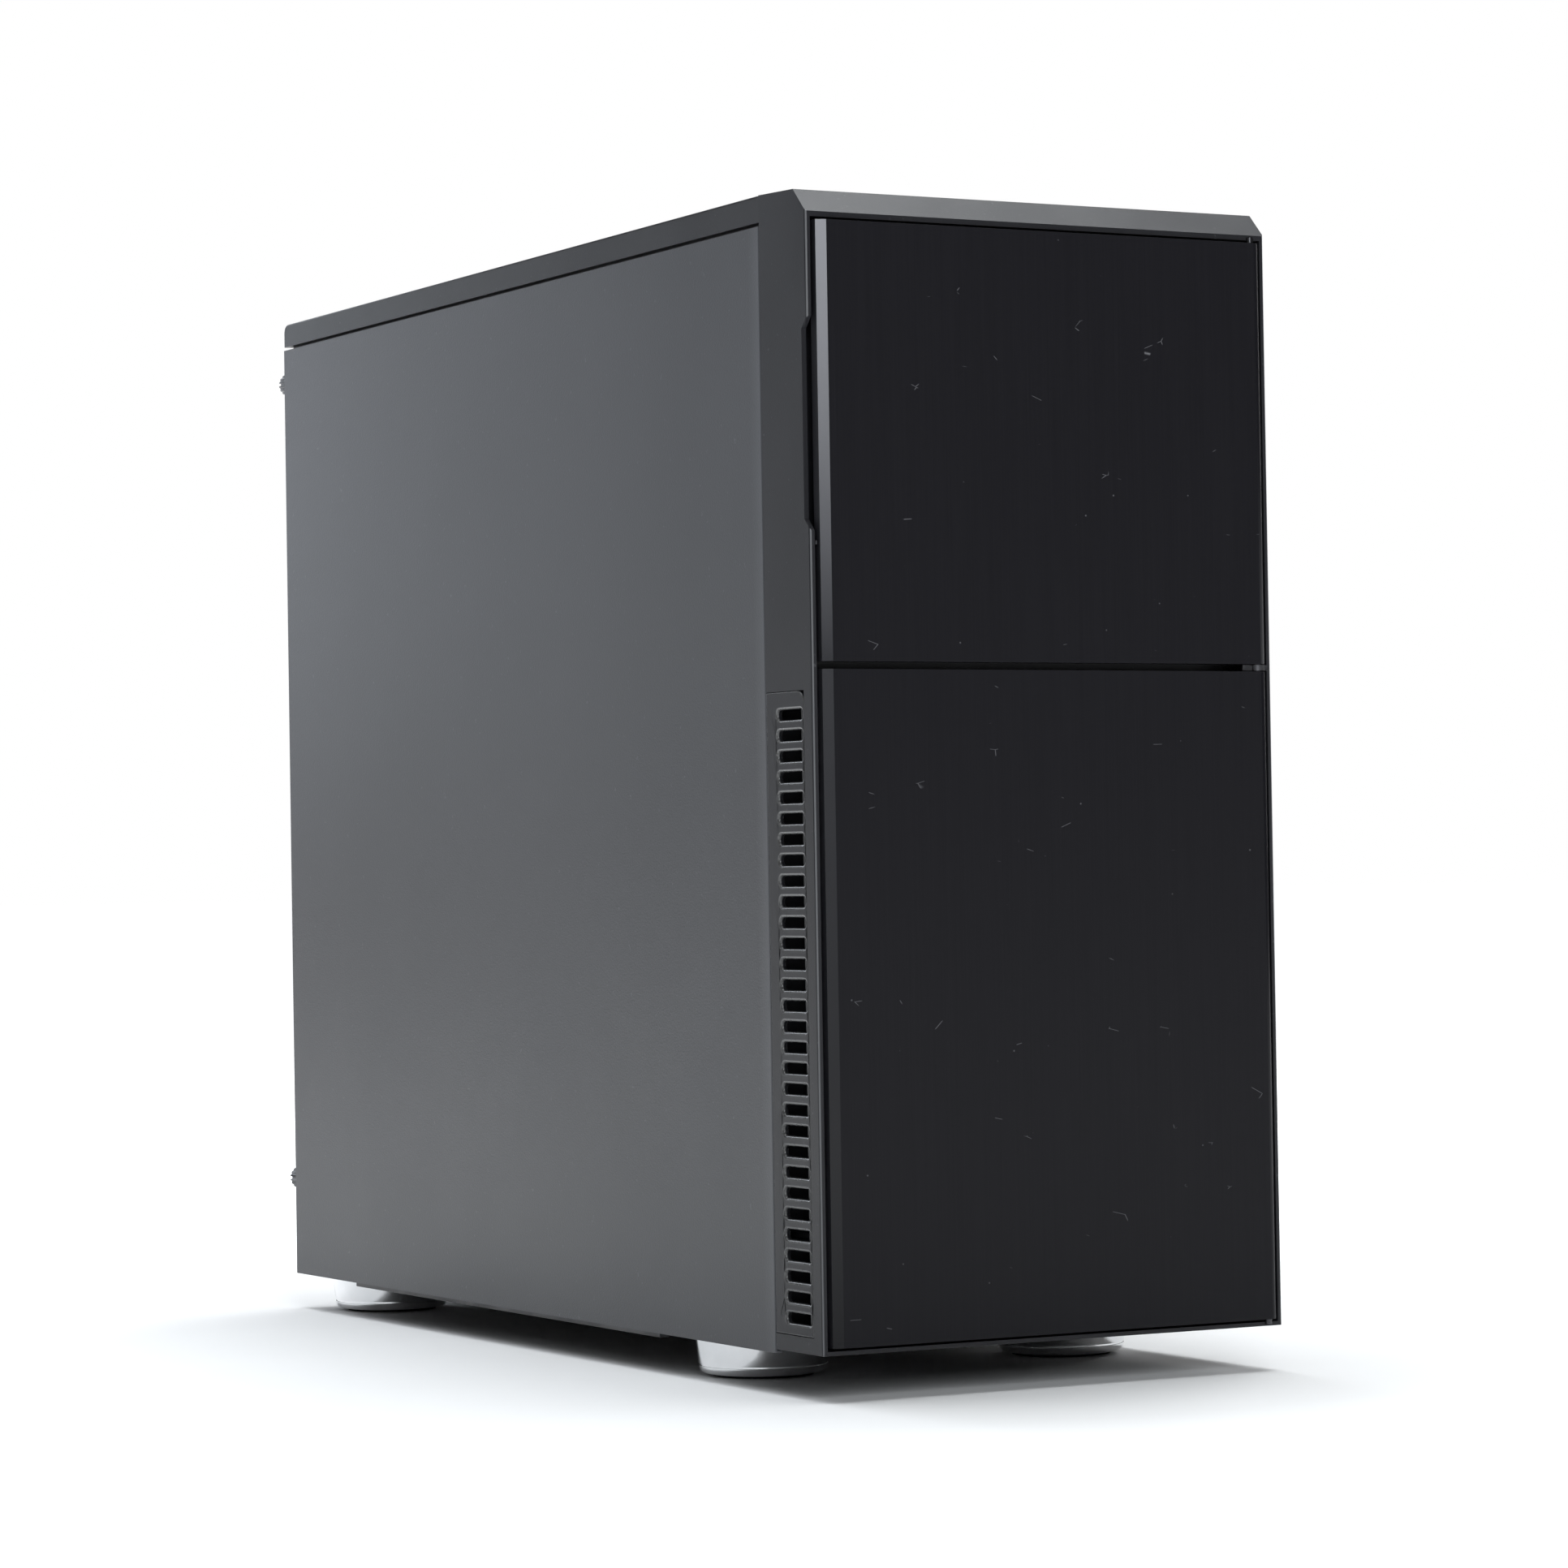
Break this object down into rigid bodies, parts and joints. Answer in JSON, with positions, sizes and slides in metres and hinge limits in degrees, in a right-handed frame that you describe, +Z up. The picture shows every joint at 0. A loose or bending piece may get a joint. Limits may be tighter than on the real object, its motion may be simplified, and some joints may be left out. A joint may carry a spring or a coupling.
{
  "type": "desktop computer tower",
  "caption": "Mid-size desktop computer tower with hinged front doors, side vent strips, chrome feet, removable side panels, and working fans and buttons.",
  "frame": {"origin": "middle of the footprint on the floor, under the four feet", "axes": "front doors face -Y, rear faces +Y, motherboard side is +X, +Z is up"},
  "size_m": [0.207, 0.522, 0.459],
  "materials": {
    "bezel_plastic": "fine moulded texture",
    "door_face": "dark brushed face, vertical grain",
    "door_core": "moulded",
    "case_paint": "fine textured powder coat",
    "chassis_steel": "smooth dark paint",
    "zinc_steel": "zinc plated sheet",
    "foot_chrome": "polished",
    "rubber": "matt",
    "fan_plastic": "moulded",
    "board": "solder mask",
    "socket_plastic": "moulded",
    "heat_sink": "extruded fins",
    "drive_metal": "cast",
    "control_gloss": "gloss",
    "cable": "sleeved",
    "screw": "machined",
    "core_parts": "laminate and wound parts"
  },
  "bodies": {
    "chassis": {"bay_covers": "bezel_plastic", "board_heat_sinks": "heat_sink", "board_sockets": "socket_plastic", "bottom_pan": "chassis_steel", "cable_grommets": "rubber", "case_fan_frames": "fan_plastic", "chrome_feet": "foot_chrome", "control_panel": "control_gloss", "cpu_cooler": "heat_sink", "cpu_fan_frame": "fan_plastic", "data_cables": "cable", "drive_cage": "chassis_steel", "drive_trays": "bezel_plastic", "fasteners": "screw", "foot_pads": "rubber", "front_bezel": "bezel_plastic", "front_filters": "fan_plastic", "front_ports": "zinc_steel", "front_wall": "chassis_steel", "graphics_card": "board", "graphics_cooler": "bezel_plastic", "hard_drives": "drive_metal", "hinge_brackets": "screw", "io_shield": "zinc_steel", "left_vent": "bezel_plastic", "mains_inlet": "bezel_plastic", "memory_modules": "board", "motherboard": "board", "motherboard_tray": "chassis_steel", "optical_bay_cage": "chassis_steel", "optical_drive": "zinc_steel", "power_cables": "cable", "power_supply_case": "chassis_steel", "power_supply_core": "core_parts", "rear_panel": "chassis_steel", "rear_ports": "zinc_steel", "right_vent": "bezel_plastic", "roof_panel": "chassis_steel", "slot_covers": "zinc_steel", "top_cover": "bezel_plastic"},
    "upper_door": {"upper_door_skin": "door_face", "upper_door_core": "door_core"},
    "lower_door": {"lower_door_skin": "door_face", "lower_door_core": "door_core"},
    "power_button_cap": {"power_button": "control_gloss"},
    "reset_button_cap": {"reset_button": "control_gloss"},
    "left_panel": {"left_side_panel": "case_paint"},
    "right_panel": {"right_side_panel": "case_paint"},
    "left_upper_screw": {"left_upper_thumbscrew": "screw"},
    "left_lower_screw": {"left_lower_thumbscrew": "screw"},
    "right_upper_screw": {"right_upper_thumbscrew": "screw"},
    "right_lower_screw": {"right_lower_thumbscrew": "screw"},
    "lower_front_rotor": {"lower_front_fan_rotor": "fan_plastic"},
    "upper_front_rotor": {"upper_front_fan_rotor": "fan_plastic"},
    "rear_rotor": {"rear_fan_rotor": "fan_plastic"},
    "cpu_rotor": {"cpu_fan_rotor": "fan_plastic"},
    "power_supply_rotor": {"power_supply_fan_rotor": "fan_plastic"},
    "graphics_rotor": {"graphics_fan_rotor": "fan_plastic"},
    "filter_tray": {"dust_filter": "fan_plastic"},
    "supply_rocker": {"power_supply_switch": "control_gloss"}
  },
  "joints": [
    {"name": "upper_door_hinge", "type": "hinge", "parent": "chassis", "child": "upper_door", "pos_m": [0.0969, -0.258, 0.362], "axis": [0, 0, 1], "range_deg": [0, 120]},
    {"name": "lower_door_hinge", "type": "hinge", "parent": "chassis", "child": "lower_door", "pos_m": [0.0969, -0.258, 0.148], "axis": [0, 0, 1], "range_deg": [0, 120]},
    {"name": "power_button_press", "type": "slide", "parent": "chassis", "child": "power_button_cap", "axis": [0, 1, 0], "range_m": [0, 0.002], "stiffness_N_per_m": 400},
    {"name": "reset_button_press", "type": "slide", "parent": "chassis", "child": "reset_button_cap", "axis": [0, 1, 0], "range_m": [0, 0.002], "stiffness_N_per_m": 400},
    {"name": "left_panel_slide", "type": "slide", "parent": "chassis", "child": "left_panel", "axis": [0, 1, 0], "range_m": [0, 0.02]},
    {"name": "right_panel_slide", "type": "slide", "parent": "chassis", "child": "right_panel", "axis": [0, 1, 0], "range_m": [0, 0.02]},
    {"name": "left_upper_screw_turn", "type": "hinge", "parent": "left_panel", "child": "left_upper_screw", "pos_m": [-0.097, 0.252, 0.432], "axis": [0, 1, 0], "continuous": true},
    {"name": "left_lower_screw_turn", "type": "hinge", "parent": "left_panel", "child": "left_lower_screw", "pos_m": [-0.097, 0.252, 0.06], "axis": [0, 1, 0], "continuous": true},
    {"name": "right_upper_screw_turn", "type": "hinge", "parent": "right_panel", "child": "right_upper_screw", "pos_m": [0.097, 0.252, 0.432], "axis": [0, 1, 0], "continuous": true},
    {"name": "right_lower_screw_turn", "type": "hinge", "parent": "right_panel", "child": "right_lower_screw", "pos_m": [0.097, 0.252, 0.06], "axis": [0, 1, 0], "continuous": true},
    {"name": "lower_front_fan_spin", "type": "hinge", "parent": "chassis", "child": "lower_front_rotor", "pos_m": [0, -0.21, 0.09], "axis": [0, 1, 0], "continuous": true},
    {"name": "upper_front_fan_spin", "type": "hinge", "parent": "chassis", "child": "upper_front_rotor", "pos_m": [0, -0.21, 0.212], "axis": [0, 1, 0], "continuous": true},
    {"name": "rear_fan_spin", "type": "hinge", "parent": "chassis", "child": "rear_rotor", "pos_m": [-0.036, 0.235, 0.36], "axis": [0, 1, 0], "continuous": true},
    {"name": "cpu_fan_spin", "type": "hinge", "parent": "chassis", "child": "cpu_rotor", "pos_m": [0.008, 0.112, 0.345], "axis": [0, 1, 0], "continuous": true},
    {"name": "power_supply_fan_spin", "type": "hinge", "parent": "chassis", "child": "power_supply_rotor", "pos_m": [0.002, 0.18, 0.03], "axis": [0, 0, 1], "continuous": true},
    {"name": "graphics_fan_spin", "type": "hinge", "parent": "chassis", "child": "graphics_rotor", "pos_m": [0.008, 0.15, 0.22], "axis": [0, 0, 1], "continuous": true},
    {"name": "dust_filter_slide", "type": "slide", "parent": "chassis", "child": "filter_tray", "axis": [0, 1, 0], "range_m": [0, 0.14]},
    {"name": "power_supply_switch_rock", "type": "hinge", "parent": "chassis", "child": "supply_rocker", "pos_m": [0.03, 0.2488, 0.04], "axis": [1, 0, 0], "range_deg": [-12, 0]}
  ]
}
